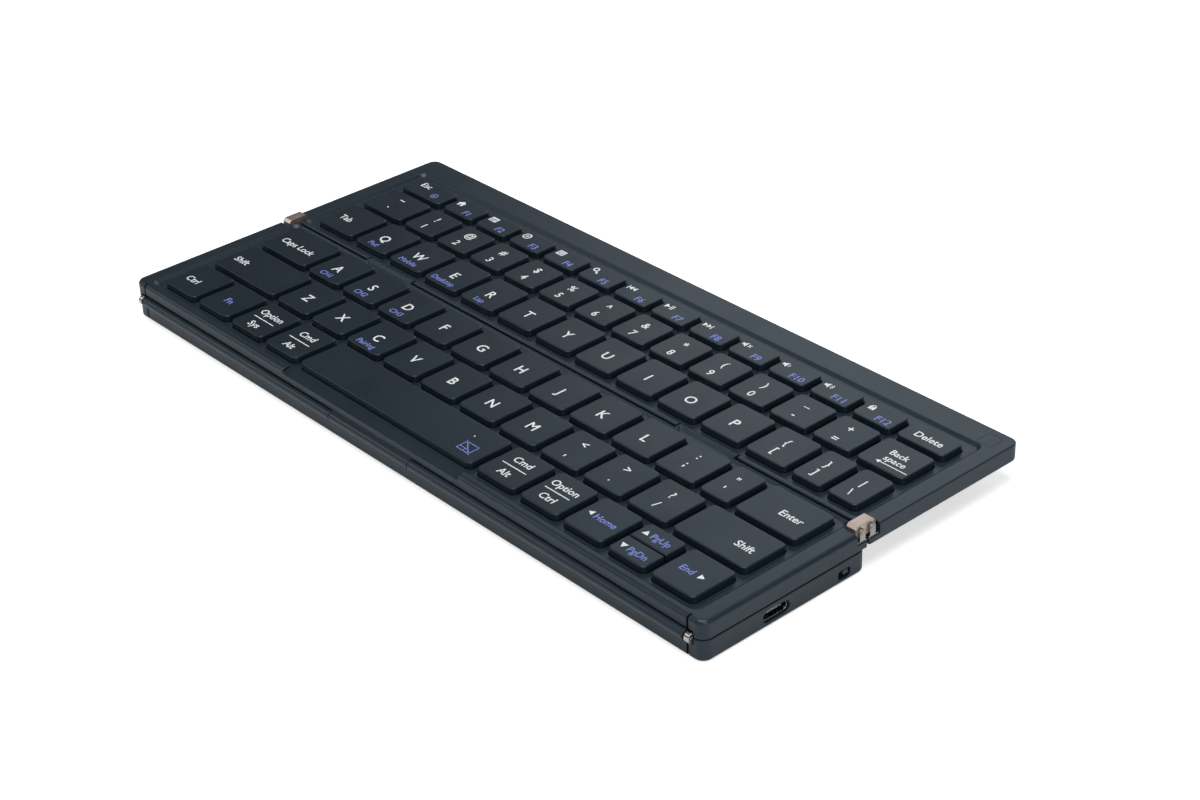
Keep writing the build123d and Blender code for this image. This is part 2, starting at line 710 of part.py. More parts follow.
with BuildPart() as battery:
    with BuildSketch(Plane.XY.offset(pad_roof_z - battery_gap - battery_thickness)):
        with Locations((battery_x, pad_mid_y)):
            RectangleRounded(battery_width, battery_depth, 2)
    extrude(amount=battery_thickness)
    fillet(battery.edges().group_by(Axis.Z)[0], 0.8)
keep(battery.part, "battery")

# Main board against the housing's right wall, notched round the port and the switch.
board_x1 = half_width - pad_wall - board_gap
board_z = port_z - board_thickness / 2
port_x1 = half_width - port_inset
switch_x1 = half_width - pad_wall - 0.1
with BuildPart() as main_board:
    block(
        board_x1 - board_width, board_x1, pad_mid_y - board_depth / 2, pad_mid_y + board_depth / 2,
        board_z, board_z + board_thickness,
    )
    block(
        port_x1 - port_length - 0.1, board_x1, port_y - port_width / 2 - 0.1, port_y + port_width / 2 + 0.1,
        board_z, board_z + board_thickness, mode=Mode.SUBTRACT,
    )
    block(
        switch_x1 - switch_body_depth - 0.1, board_x1,
        switch_y - switch_body_width / 2 - 0.1, pad_rear_y,
        board_z, board_z + board_thickness, mode=Mode.SUBTRACT,
    )
keep(main_board.part, "main_board")

# Socket: drawn steel shell with its contact tongue standing from the closed back.
with BuildPart() as usb_c_port:
    with BuildSketch(Plane.YZ.offset(port_x1 - port_length)):
        with Locations((port_y, port_z)):
            SlotOverall(port_width, port_height)
    extrude(amount=port_length)
    with BuildSketch(Plane.YZ.offset(port_x1 - port_length + 1)):
        with Locations((port_y, port_z)):
            SlotOverall(port_width - 2 * port_shell, port_height - 2 * port_shell)
    extrude(amount=port_length, mode=Mode.SUBTRACT)
    block(
        port_x1 - port_length + 0.5, port_x1 - 0.8, port_y - 3.3, port_y + 3.3,
        port_z - 0.35, port_z + 0.35,
    )
keep(usb_c_port.part, "usb_c_port")

knob_y = switch_y + switch_travel / 2
with BuildPart() as power_switch_body:
    block(
        switch_x1 - switch_body_depth, switch_x1,
        switch_y - switch_body_width / 2, switch_y + switch_body_width / 2,
        switch_z - switch_body_height / 2, switch_z + switch_body_height / 2,
    )
    block(
        switch_x1 - 1.2, switch_x1,
        knob_y - switch_travel - knob_width / 2 - 0.2, knob_y + knob_width / 2 + 0.2,
        switch_z - knob_height / 2 - 0.1, switch_z + knob_height / 2 + 0.1, mode=Mode.SUBTRACT,
    )
keep(power_switch_body.part, "power_switch_body")

with BuildPart() as power_switch_knob:
    block(
        switch_x1 - 1.0, half_width - knob_inset, knob_y - knob_width / 2, knob_y + knob_width / 2,
        switch_z - knob_height / 2, switch_z + knob_height / 2,
    )
    fillet(power_switch_knob.faces().sort_by(Axis.X)[-1].edges(), 0.25)
keep(power_switch_knob.part, "power_switch_knob")


# ---- front hinge: rod and steel end knuckles --------------------------------------
rod_end = end_knuckle_x + end_knuckle_width
with BuildPart() as front_hinge_rod:
    rod(-rod_end, rod_end, axis_y, axis_z, rod_radius)
keep(front_hinge_rod.part, "front_hinge_rod")

with BuildPart() as front_hinge_knuckles:
    for side in (-1, 1):
        x0, x1 = sorted((side * end_knuckle_x, side * rod_end))
        rod(x0, x1, axis_y, axis_z, barrel_radius)
        rod(x0, x1, axis_y, axis_z, rod_radius, mode=Mode.SUBTRACT)
keep(front_hinge_knuckles.part, "front_hinge_knuckles")

print("depth", round(depth, 3), "width", round(body_width, 3), "key top", round(key_top_z, 3))
print("front axis", round(axis_y, 3), round(axis_z, 3))
print("link pins", round(front_pin_y, 3), round(rear_pin_y, 3), "at", round(pin_z, 3))
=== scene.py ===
import math

import bmesh
import bpy
from mathutils import Matrix, Vector


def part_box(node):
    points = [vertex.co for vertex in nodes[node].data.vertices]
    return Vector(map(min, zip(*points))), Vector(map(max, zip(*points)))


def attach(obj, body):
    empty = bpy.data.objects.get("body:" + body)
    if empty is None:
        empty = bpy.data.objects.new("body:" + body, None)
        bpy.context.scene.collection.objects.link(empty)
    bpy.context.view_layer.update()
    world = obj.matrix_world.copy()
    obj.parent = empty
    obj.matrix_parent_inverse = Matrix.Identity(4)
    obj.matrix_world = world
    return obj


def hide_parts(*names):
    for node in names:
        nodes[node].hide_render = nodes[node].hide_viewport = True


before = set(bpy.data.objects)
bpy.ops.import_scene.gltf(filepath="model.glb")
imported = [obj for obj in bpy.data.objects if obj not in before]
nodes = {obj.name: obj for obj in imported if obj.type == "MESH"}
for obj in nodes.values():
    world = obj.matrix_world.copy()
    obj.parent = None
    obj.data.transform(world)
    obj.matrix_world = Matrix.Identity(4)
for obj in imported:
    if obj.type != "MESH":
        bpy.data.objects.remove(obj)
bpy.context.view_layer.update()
mm = 0.001


# ---- Slab shells ------------------------------------------------------------------
# The three slabs are injection-moulded in one dark slate plastic with a fine spark-eroded
# grain. Two carry the keys, the lowest one the touchpad; each is closed by a cover.
# The moulding edges are softened a little, and a painted highlight runs along them.
def new_group(name, inputs, outputs):
    """An empty shader node group with named float inputs and named outputs."""
    group = bpy.data.node_groups.new(name, "ShaderNodeTree")
    for title, value in inputs.items():
        socket = group.interface.new_socket(title, in_out="INPUT", socket_type="NodeSocketFloat")
        socket.default_value = value
    for title, kind in outputs.items():
        group.interface.new_socket(title, in_out="OUTPUT", socket_type=kind)
    return group, group.nodes.new("NodeGroupInput"), group.nodes.new("NodeGroupOutput")


def add_math(tree, kind, a, b, clamp=False):
    """A Math node; a and b are sockets or numbers."""
    node = tree.nodes.new("ShaderNodeMath")
    node.operation, node.use_clamp = kind, clamp
    for slot, value in zip(node.inputs, (a, b)):
        if isinstance(value, (int, float)):
            slot.default_value = value
        else:
            tree.links.new(value, slot)
    return node.outputs[0]


def add_noise(tree, place, scale, detail=2.0, rough=0.5):
    """A Noise node on the piece's own coordinates; scale is a socket or a number."""
    node = tree.nodes.new("ShaderNodeTexNoise")
    node.inputs["Detail"].default_value, node.inputs["Roughness"].default_value = detail, rough
    tree.links.new(place, node.inputs["Vector"])
    if isinstance(scale, (int, float)):
        node.inputs["Scale"].default_value = scale
    else:
        tree.links.new(scale, node.inputs["Scale"])
    return node.outputs["Fac"]


def add_range(tree, value, low, high, value_low=0.3, value_high=0.7):
    """Stretches a value's span, a noise's usual one if no other is given, onto low to high."""
    node = tree.nodes.new("ShaderNodeMapRange")
    for title, number in (("From Min", value_low), ("From Max", value_high), ("To Min", low), ("To Max", high)):
        node.inputs[title].default_value = number
    tree.links.new(value, node.inputs["Value"])
    return node.outputs[0]


def add_group(tree, group, values):
    """One of the shader groups below with its inputs set; gives its outputs."""
    node = tree.nodes.new("ShaderNodeGroup")
    node.node_tree = group
    for title, value in values.items():
        node.inputs[title].default_value = value
    return node.outputs


def add_tint(tree, colour, share):
    """The colour made lighter or darker by a share that varies over the part."""
    node = tree.nodes.new("ShaderNodeVectorMath")
    node.operation = "SCALE"
    node.inputs[0].default_value = linear(*colour)[:3]
    tree.links.new(share, node.inputs["Scale"])
    return node.outputs[0]


def add_edge_highlight(tree, shader, mask, under, over):
    """Base colour: under (a colour or a socket), with over painted in where the mask says, as a highlight along
    the edges.
    """
    share, first, second, result = 0, 6, 7, 2       # the Mix node's sockets for colours
    node = tree.nodes.new("ShaderNodeMix")
    node.data_type = "RGBA"
    node.inputs[second].default_value = linear(*over)
    if isinstance(under, tuple):
        node.inputs[first].default_value = linear(*under)
    else:
        tree.links.new(under, node.inputs[first])
    tree.links.new(mask, node.inputs[share])
    tree.links.new(node.outputs[result], shader.inputs["Base Color"])


def add_relief(tree, shader, height, strength, depth, normal=None):
    """Bump on the shader, over the softened normal if one is given; depth in metres."""
    node = tree.nodes.new("ShaderNodeBump")
    node.inputs["Strength"].default_value = strength
    node.inputs["Distance"].default_value = depth
    tree.links.new(height, node.inputs["Height"])
    if normal is not None:
        tree.links.new(normal, node.inputs["Normal"])
    tree.links.new(node.outputs[0], shader.inputs["Normal"])


def new_material(name):
    """An empty finish: the material, its node tree and its main shader."""
    material = bpy.data.materials.new(name)
    material.use_nodes = True
    return material, material.node_tree, material.node_tree.nodes["Principled BSDF"]


# grain of the mould: height for the bump, and a cloud that varies the gloss over the part
grain_group, ins, outs = new_group(
    "moulded_grain", {"Grain scale": 5200.0, "Cloud scale": 45.0},
    {"Height": "NodeSocketFloat", "Cloud": "NodeSocketFloat"},
)
place = grain_group.nodes.new("ShaderNodeTexCoord").outputs["Object"]
fine = add_noise(grain_group, place, ins.outputs["Grain scale"], 3.0, 0.6)
cloud = add_noise(grain_group, place, ins.outputs["Cloud scale"], 4.0, 0.55)
grain_group.links.new(fine, outs.inputs["Height"])
grain_group.links.new(cloud, outs.inputs["Cloud"])

# painted edge highlight: a mask where a softened normal leaves the true one, broken up by noise
edge_group, ins, outs = new_group(
    "highlit_edge", {"Radius": 0.0003, "Reach": 3.0, "Patch scale": 260.0},
    {"Edge": "NodeSocketFloat", "Normal": "NodeSocketVector"},
)
soft = edge_group.nodes.new("ShaderNodeBevel")
soft.samples = 6
edge_group.links.new(ins.outputs["Radius"], soft.inputs["Radius"])
flat = edge_group.nodes.new("ShaderNodeNewGeometry")
dot = edge_group.nodes.new("ShaderNodeVectorMath")
dot.operation = "DOT_PRODUCT"
edge_group.links.new(soft.outputs[0], dot.inputs[0])
edge_group.links.new(flat.outputs["Normal"], dot.inputs[1])
turned = add_math(edge_group, "SUBTRACT", 1.0, dot.outputs["Value"])
place = edge_group.nodes.new("ShaderNodeTexCoord").outputs["Object"]
patch = add_noise(edge_group, place, ins.outputs["Patch scale"], 3.0, 0.6)
widened = add_math(edge_group, "MULTIPLY", patch, ins.outputs["Reach"])
mask = add_math(edge_group, "MULTIPLY", turned, widened, clamp=True)
edge_group.links.new(mask, outs.inputs["Edge"])
edge_group.links.new(soft.outputs[0], outs.inputs["Normal"])


def linear(red, green, blue):
    """A colour given as it looks on a screen, 0 to 255, turned to scene light."""
    light = [c / 255 / 12.92 if c < 11 else ((c / 255 + 0.055) / 1.055) ** 2.4 for c in (red, green, blue)]
    return light + [1.0]


cold_sheen = (0.72, 0.88, 1.0, 1.0)     # reflections on the plastics are a little blue
grain_depth = 0.04 * mm


def plastic(name, colour, edge_highlight, rough, uneven, bump, specular=0.5, edge=0.3 * mm, grain=5200.0, cloud=45.0,
            mottle=0.06, metallic=0.0, reach=3.0):
    """A moulded or coated finish: grain, uneven gloss and a painted edge highlight on plain Object coordinates.

    rough and uneven are the gloss and how far it varies, mottle how far the colour does; edge is the
    radius of the softened edges, along which the second colour is painted as a highlight; grain and cloud
    are the scales of the two noises.
    """
    material, tree, shader = new_material(name)
    shader.inputs["Specular IOR Level"].default_value = specular
    shader.inputs["Metallic"].default_value = metallic
    shader.inputs["Specular Tint"].default_value = cold_sheen
    grains = add_group(tree, grain_group, {"Grain scale": grain, "Cloud scale": cloud})
    edges = add_group(tree, edge_group, {"Radius": edge, "Reach": reach})
    tint = add_tint(tree, colour, add_range(tree, grains["Cloud"], 1 - mottle, 1 + mottle))
    # the second colour is a painted highlight along the softened edges
    add_edge_highlight(tree, shader, edges["Edge"], tint, edge_highlight)
    gloss = add_range(tree, grains["Cloud"], rough - uneven, rough + uneven)
    tree.links.new(gloss, shader.inputs["Roughness"])
    add_relief(tree, shader, grains["Height"], bump, grain_depth, edges["Normal"])
    return material


def finish_in(material, *names):
    """Gives these CAD nodes the material."""
    for name in names:
        slots = nodes[name].data.materials
        if len(slots) == 0:
            slots.append(material)
        for number in range(len(slots)):
            slots[number] = material


case_plastic = plastic("case_plastic", (33, 43, 52), (96, 100, 103), rough=0.33, uneven=0.04, bump=0.18)
finish_in(case_plastic, "rear_top_frame", "middle_top_frame", "touchpad_housing", "rim_inlay")

cover_plastic = plastic(
    "cover_plastic", (31, 39, 47), (84, 88, 92), rough=0.52, uneven=0.05, bump=0.35, specular=0.4, grain=4200.0,
)
finish_in(cover_plastic, "rear_bottom_cover", "middle_bottom_cover")


# ---- Key plates and rubber domes --------------------------------------------------
# Under the keys lies a stamped, zinc-coated sheet-steel plate with a moulded sheet of
# silicone domes on it. Both are seen only as darkness between the caps, and end on.
sheet_steel = plastic(
    "plate_steel", (120, 122, 122), (170, 170, 168), rough=0.42, uneven=0.08, bump=0.1, metallic=1.0, grain=2500.0,
)
finish_in(sheet_steel, "rear_key_plate", "middle_key_plate")
dome_rubber = plastic(
    "dome_rubber", (176, 178, 174), (190, 192, 188), rough=0.6, uneven=0.05, bump=0.1, mottle=0.03,
)
finish_in(dome_rubber, "rear_dome_sheet", "middle_dome_sheet")


# ---- Hinge links between the two key slabs ----------------------------------------
# Warm nickel-plated zinc links, one at each side, turn on two pins each, so that the
# rear slab folds over flat. The plating is brushed along its length, with a painted highlight at the chamfers.
def brushed_metal(name, colour, rough, along, shine=(225, 215, 205), metallic=1.0):
    """Plated or turned metal with fine lines along x, y or z; shine is painted along its edges as a highlight."""
    material, tree, shader = new_material(name)
    shader.inputs["Metallic"].default_value = metallic
    place = tree.nodes.new("ShaderNodeTexCoord").outputs["Object"]
    with_lines, across_lines, smear_scale = 60.0, 3500.0, 300.0
    stretch = tree.nodes.new("ShaderNodeMapping")
    stretch.inputs["Scale"].default_value = [with_lines if axis == along else across_lines for axis in "xyz"]
    tree.links.new(place, stretch.inputs["Vector"])
    brushing = add_noise(tree, stretch.outputs[0], 1.0, 2.0, 0.5)
    smear = add_noise(tree, place, smear_scale, 3.0, 0.6)
    edges = add_group(tree, edge_group, {"Radius": 0.2 * mm, "Reach": 5.0})
    # shine is a painted highlight along the softened edges
    add_edge_highlight(tree, shader, edges["Edge"], colour, shine)
    tree.links.new(add_range(tree, smear, rough - 0.07, rough + 0.1), shader.inputs["Roughness"])
    add_relief(tree, shader, brushing, 0.12, 0.03 * mm, edges["Normal"])
    return material


warm_nickel = brushed_metal("warm_nickel", (206, 187, 176), 0.32, "y", shine=(246, 234, 226), metallic=0.85)
finish_in(warm_nickel, "hinge_links")
pin_steel = brushed_metal("pin_steel", (176, 174, 170), 0.28, "x")
finish_in(pin_steel, "hinge_pins", "rear_hinge_brackets", "middle_hinge_brackets")


# ---- Front hinge ------------------------------------------------------------------
# A steel rod runs through the moulded barrels along the front edge; a turned steel
# knuckle shows in the slot at each end, with a painted highlight along its edges.
knuckle_steel = brushed_metal("knuckle_steel", (206, 204, 200), 0.2, "x", shine=(235, 234, 230))
finish_in(knuckle_steel, "front_hinge_rod", "front_hinge_knuckles")


# ---- Cover screws -----------------------------------------------------------------
# Small countersunk machine screws, black-oxide steel with a cross recess, driven up
# through the bottom covers into the bosses of the key slabs.
def parts_of(name, along="xy", gap=0.4 * mm):
    """The separate parts of a CAD node, as (low corner, high corner), in rising x, then y."""
    mesh = nodes[name].data
    groups = [[vertex.co for vertex in mesh.vertices]]
    for axis in along:
        i = "xyz".index(axis)
        facets = []
        for polygon in mesh.polygons:
            values = [mesh.vertices[v].co[i] for v in polygon.vertices]
            facets.append((min(values), max(values)))
        cut = []
        for points in groups:
            points = sorted(points, key=lambda p: p[i])
            run = [points[0]]
            for before, point in zip(points, points[1:]):
                # a flat face has no points of its own inside it, so no facet may cross the gap either
                middle = (before[i] + point[i]) / 2
                if point[i] - before[i] > gap and not any(low < middle < high for low, high in facets):
                    cut.append(run)
                    run = []
                run.append(point)
            cut.append(run)
        groups = cut
    return [
        tuple(Vector([end(p[i] for p in group) for i in range(3)]) for end in (min, max))
        for group in groups
    ]


def tree_with(name, inputs):
    """An empty Geometry Nodes tree with named float inputs after the geometry."""
    tree = bpy.data.node_groups.new(name, "GeometryNodeTree")
    tree.interface.new_socket("Geometry", in_out="INPUT", socket_type="NodeSocketGeometry")
    for title, value in inputs.items():
        kind = "NodeSocketInt" if isinstance(value, int) else "NodeSocketFloat"
        socket = tree.interface.new_socket(title, in_out="INPUT", socket_type=kind)
        socket.default_value = value
    tree.interface.new_socket("Geometry", in_out="OUTPUT", socket_type="NodeSocketGeometry")
    return tree, tree.nodes.new("NodeGroupInput"), tree.nodes.new("NodeGroupOutput")


def place_along(tree, points, piece, material, outs):
    """Copies piece to the points, makes the copies real and gives them their material."""
    copies = tree.nodes.new("GeometryNodeInstanceOnPoints")
    real = tree.nodes.new("GeometryNodeRealizeInstances")
    colour = tree.nodes.new("GeometryNodeSetMaterial")
    colour.inputs["Material"].default_value = material
    tree.links.new(points, copies.inputs["Points"])
    tree.links.new(piece, copies.inputs["Instance"])
    tree.links.new(copies.outputs[0], real.inputs[0])
    tree.links.new(real.outputs[0], colour.inputs["Geometry"])
    tree.links.new(colour.outputs[0], outs.inputs[0])


def grown(name, tree, points):
    """A plain mesh grown by the tree from these points."""
    seed = bpy.data.meshes.new(name + "_points")
    seed.from_pydata([tuple(p) for p in points], [], [])
    carrier = bpy.data.objects.new(name + "_points", seed)
    bpy.context.scene.collection.objects.link(carrier)
    modifier = carrier.modifiers.new("grow", "NODES")
    modifier.node_group = tree
    mesh = bpy.data.meshes.new_from_object(carrier.evaluated_get(bpy.context.evaluated_depsgraph_get()))
    carrier.modifiers.remove(modifier)
    bpy.data.objects.remove(carrier)
    piece = bpy.data.objects.new(name, mesh)
    bpy.context.scene.collection.objects.link(piece)
    return piece


head_height = 0.5 * mm
screw_black = plastic(
    "screw_black", (44, 44, 46), (150, 148, 144), rough=0.34, uneven=0.06, bump=0.1, metallic=1.0,
    edge=0.1 * mm, grain=6000.0,
)
screw_tree, ins, outs = tree_with("cover_screw", {
    "Head radius": 1.2 * mm, "Head height": head_height, "Shank radius": 0.7 * mm, "Shank length": 2.6 * mm,
    "Recess length": 1.5 * mm, "Recess width": 0.36 * mm, "Recess depth": 0.35 * mm,
})
head = screw_tree.nodes.new("GeometryNodeMeshCylinder")
head.inputs["Vertices"].default_value = 32
screw_tree.links.new(ins.outputs["Head radius"], head.inputs["Radius"])
screw_tree.links.new(ins.outputs["Head height"], head.inputs["Depth"])
cuts = []
for turn in (0, 1):
    size = screw_tree.nodes.new("ShaderNodeCombineXYZ")
    screw_tree.links.new(ins.outputs["Recess length"], size.inputs[turn])
    screw_tree.links.new(ins.outputs["Recess width"], size.inputs[1 - turn])
    screw_tree.links.new(add_math(screw_tree, "MULTIPLY", ins.outputs["Recess depth"], 2.0), size.inputs[2])
    block = screw_tree.nodes.new("GeometryNodeMeshCube")
    screw_tree.links.new(size.outputs[0], block.inputs["Size"])
    down = screw_tree.nodes.new("ShaderNodeCombineXYZ")
    screw_tree.links.new(add_math(screw_tree, "MULTIPLY", ins.outputs["Head height"], -0.5), down.inputs[2])
    move = screw_tree.nodes.new("GeometryNodeTransform")
    screw_tree.links.new(block.outputs[0], move.inputs["Geometry"])
    screw_tree.links.new(down.outputs[0], move.inputs["Translation"])
    cuts.append(move.outputs[0])
recess = screw_tree.nodes.new("GeometryNodeMeshBoolean")
recess.operation = "DIFFERENCE"
screw_tree.links.new(head.outputs[0], recess.inputs["Mesh 1"])
for cut in cuts:
    screw_tree.links.new(cut, recess.inputs["Mesh 2"])
shank = screw_tree.nodes.new("GeometryNodeMeshCylinder")
shank.inputs["Vertices"].default_value = 24
screw_tree.links.new(ins.outputs["Shank radius"], shank.inputs["Radius"])
screw_tree.links.new(ins.outputs["Shank length"], shank.inputs["Depth"])
up = screw_tree.nodes.new("ShaderNodeCombineXYZ")
half_both = add_math(screw_tree, "ADD", ins.outputs["Head height"], ins.outputs["Shank length"])
screw_tree.links.new(add_math(screw_tree, "MULTIPLY", half_both, 0.5), up.inputs[2])
lift = screw_tree.nodes.new("GeometryNodeTransform")
screw_tree.links.new(shank.outputs[0], lift.inputs["Geometry"])
screw_tree.links.new(up.outputs[0], lift.inputs["Translation"])
whole = screw_tree.nodes.new("GeometryNodeJoinGeometry")
screw_tree.links.new(recess.outputs[0], whole.inputs[0])
screw_tree.links.new(lift.outputs[0], whole.inputs[0])
place_along(screw_tree, ins.outputs[0], whole.outputs[0], screw_black, outs)

for node, body in (("rear_cover_screws", "rear"), ("middle_cover_screws", "middle")):
    spots = []
    for low, high in parts_of(node):
        centre = (low + high) / 2
        spots.append((centre.x, centre.y, low.z + head_height / 2))
    screws = grown(node + "_driven", screw_tree, spots)
    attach(screws, body)
    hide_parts(node)


# ---- Touchpad ---------------------------------------------------------------------
# A sheet of satin-coated glass, let into a moulded bezel on the underside of the
# lowest slab, with the sensor board glued behind it. It opens forward on the front hinge.
touch_glass = plastic(
    "touch_glass", (26, 29, 33), (60, 64, 68), rough=0.28, uneven=0.05, bump=0.02, grain=7000.0, cloud=60.0,
)
finish_in(touch_glass, "touchpad_surface")
finish_in(case_plastic, "touchpad_bezel")
board_green = plastic(
    "board_green", (26, 74, 52), (60, 100, 80), rough=0.38, uneven=0.08, bump=0.2, grain=1800.0, cloud=300.0,
)
finish_in(board_green, "touch_sensor_board", "main_board")


# ---- Battery ----------------------------------------------------------------------
# A flat lithium-polymer cell in a silvery laminated pouch, taped to the roof of the
# touchpad slab; the pouch is slightly crinkled.
pouch = plastic(
    "battery_pouch", (168, 170, 172), (200, 200, 200), rough=0.35, uneven=0.1, bump=0.8, metallic=0.9,
    grain=260.0, cloud=120.0,
)
finish_in(pouch, "battery")


# ---- Charging port and switch -----------------------------------------------------
# A drawn stainless shell with a black tongue sits in a smooth round-ended recess at the
# right; behind it a slide switch with a ribbed grey knob runs in a small window.
port_steel = brushed_metal("port_steel", (186, 186, 186), 0.22, "x", shine=(230, 230, 230))
finish_in(port_steel, "usb_c_port")
switch_black = plastic("switch_black", (30, 31, 33), (60, 62, 64), rough=0.5, uneven=0.05, bump=0.2)
finish_in(switch_black, "power_switch_body")
knob_grey = plastic("knob_grey", (74, 79, 84), (130, 132, 134), rough=0.45, uneven=0.05, bump=0.2)
finish_in(knob_grey, "power_switch_knob")


def row_points(tree, ins):
    """A row of plain points along y, from the tree's Count and Pitch, at each point that it grows from."""
    row = tree.nodes.new("GeometryNodeMeshLine")
    row.mode = "OFFSET"
    tree.links.new(ins.outputs["Count"], row.inputs["Count"])
    step = tree.nodes.new("ShaderNodeCombineXYZ")
    tree.links.new(ins.outputs["Pitch"], step.inputs[1])
    tree.links.new(step.outputs[0], row.inputs["Offset"])
    rows = tree.nodes.new("GeometryNodeInstanceOnPoints")
    tree.links.new(ins.outputs[0], rows.inputs["Points"])
    tree.links.new(row.outputs[0], rows.inputs["Instance"])
    real = tree.nodes.new("GeometryNodeRealizeInstances")
    tree.links.new(rows.outputs[0], real.inputs[0])
    return real.outputs[0]


# gold contacts on both faces of the port's tongue
contact_gold = brushed_metal("contact_gold", (214, 176, 98), 0.25, "x", shine=(240, 214, 150))
contact_count, contact_pitch, contact_length = 12, 0.5 * mm, 3.2 * mm
contact_tree, ins, outs = tree_with("port_contacts", {
    "Count": contact_count, "Pitch": contact_pitch,
    "Length": contact_length, "Width": 0.26 * mm, "Height": 0.02 * mm,
})
pad_size = contact_tree.nodes.new("ShaderNodeCombineXYZ")
for number, title in enumerate(("Length", "Width", "Height")):
    contact_tree.links.new(ins.outputs[title], pad_size.inputs[number])
pad = contact_tree.nodes.new("GeometryNodeMeshCube")
contact_tree.links.new(pad_size.outputs[0], pad.inputs["Size"])
place_along(contact_tree, row_points(contact_tree, ins), pad.outputs[0], contact_gold, outs)

port_low, port_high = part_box("usb_c_port")
port_middle = (port_low + port_high) / 2
tongue_front = port_high.x - 0.8 * mm
contact_x = tongue_front - 1.9 * mm
first_y = port_middle.y - (contact_count - 1) / 2 * contact_pitch
contact_height = 0.36 * mm          # the contacts' middles from the tongue's middle
contacts = grown(
    "port_contacts", contact_tree,
    [(contact_x, first_y, port_middle.z + side * contact_height) for side in (-1, 1)],
)
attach(contacts, "touchpad")

# ribs moulded across the knob's face, for the fingernail
rib_count, rib_pitch, rib_sink = 4, 0.3 * mm, 0.01 * mm
rib_tree, ins, outs = tree_with("knob_ribs", {
    "Count": rib_count, "Pitch": rib_pitch, "Radius": 0.07 * mm, "Length": 0.8 * mm,
})
rib = rib_tree.nodes.new("GeometryNodeMeshCylinder")
rib.inputs["Vertices"].default_value = 12
rib_tree.links.new(ins.outputs["Radius"], rib.inputs["Radius"])
rib_tree.links.new(ins.outputs["Length"], rib.inputs["Depth"])
place_along(rib_tree, row_points(rib_tree, ins), rib.outputs[0], knob_grey, outs)
knob_low, knob_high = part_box("power_switch_knob")
knob_middle = (knob_low + knob_high) / 2
first_y = knob_middle.y - (rib_count - 1) / 2 * rib_pitch
ribs = grown("knob_ribs", rib_tree, [(knob_high.x - rib_sink, first_y, knob_middle.z)])
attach(ribs, "switch_knob")


# ---- Key caps ---------------------------------------------------------------------
# Flat ABS caps in the case colour, a shade darker, with a fine matt texture on top and
# softly rounded upper edges that carry a painted highlight. Fingers have polished the tops
# a little, more in some places.
key_plastic = plastic(
    "key_plastic", (27, 37, 46), (80, 86, 92), rough=0.31, uneven=0.04, bump=0.16, edge=0.35 * mm,
    grain=4800.0, cloud=70.0, reach=2.2,
)
key_nodes = [name for name in nodes if name.startswith("key")]
finish_in(key_plastic, *key_nodes)

# homing bars: a short moulded bar near the front edge of the two index-finger keys
bar_length, bar_width, bar_height = 3.4 * mm, 0.5 * mm, 0.1 * mm
bar_from_front, bar_sink, steps = 3.6 * mm, 0.01 * mm, 8
for node, number in (("keys_a_to_f", 3), ("keys_g_to_k", 2)):
    low, high = parts_of(node, "x")[number]
    x, y, z = (low.x + high.x) / 2, low.y + bar_from_front, high.z - bar_sink
    half_l, half_w = bar_length / 2, bar_width / 2
    corners, faces = [], []
    for side in (-1, 1):
        for k in range(steps + 1):
            turn = math.pi * k / steps
            corners.append((x + side * half_l, y - half_w * math.cos(turn), z + bar_height * math.sin(turn)))
    for k in range(steps):
        faces.append((k, k + 1, steps + 2 + k, steps + 1 + k))
    faces.append((0, steps + 1, 2 * steps + 1, steps))
    faces.append(tuple(range(steps + 1)))
    faces.append(tuple(range(2 * steps + 1, steps, -1)))
    mesh = bpy.data.meshes.new("homing_bar_" + node)
    mesh.from_pydata(corners, [], faces)
    mesh.update()
    shell = bmesh.new()
    shell.from_mesh(mesh)
    bmesh.ops.recalc_face_normals(shell, faces=shell.faces)
    shell.to_mesh(mesh)
    shell.free()
    bar = bpy.data.objects.new("homing_bar_" + node, mesh)
    bpy.context.scene.collection.objects.link(bar)
    mesh.materials.append(key_plastic)
    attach(bar, node)


# ---- Key legends ------------------------------------------------------------------
# The legends are pad-printed in white ink and the second functions in a soft blue, a
# film of about a hundredth of a millimetre that stands on the caps' matt texture.
def ink(name, colour, rough, uneven=0.1):
    """Printed ink: thin pigment, faintly uneven in cover and gloss."""
    material, tree, shader = new_material(name)
    grains = add_group(tree, grain_group, {"Grain scale": 4800.0, "Cloud scale": 900.0})
    cover = add_range(tree, grains["Cloud"], 0.9, 1.05, 0.25, 0.75)
    tree.links.new(add_tint(tree, colour, cover), shader.inputs["Base Color"])
    gloss = add_range(tree, grains["Cloud"], rough - uneven, rough + uneven, 0.0, 1.0)
    tree.links.new(gloss, shader.inputs["Roughness"])
    add_relief(tree, shader, grains["Height"], 0.15, 0.02 * mm)
    return material


inks = {"white": ink("legend_white", (240, 242, 243), 0.5), "blue": ink("legend_blue", (124, 138, 214), 0.5)}
cap_share = 0.682           # height of a capital in the built-in face, for a size of 1
film = 0.008                # half the ink's thickness, mm
film_lift = 0.004           # the ink's middle above the cap, mm
marks = []                  # (node, ink, curve, x, y, centred): drawn here, printed together below


def mark_words(node, x, y, words, cap, colour="white", weight=0.014, centred=False):
    """Words with capitals of this height in mm, centred at x, y in mm; signs go by their own outline."""
    curve = bpy.data.curves.new("mark", "FONT")
    curve.body, curve.size = words, cap / cap_share
    curve.offset = weight * curve.size
    curve.align_x = "CENTER"
    curve.resolution_u = 3
    curve.extrude = film
    marks.append((node, colour, curve, x, y if centred else y - cap / 2, centred))


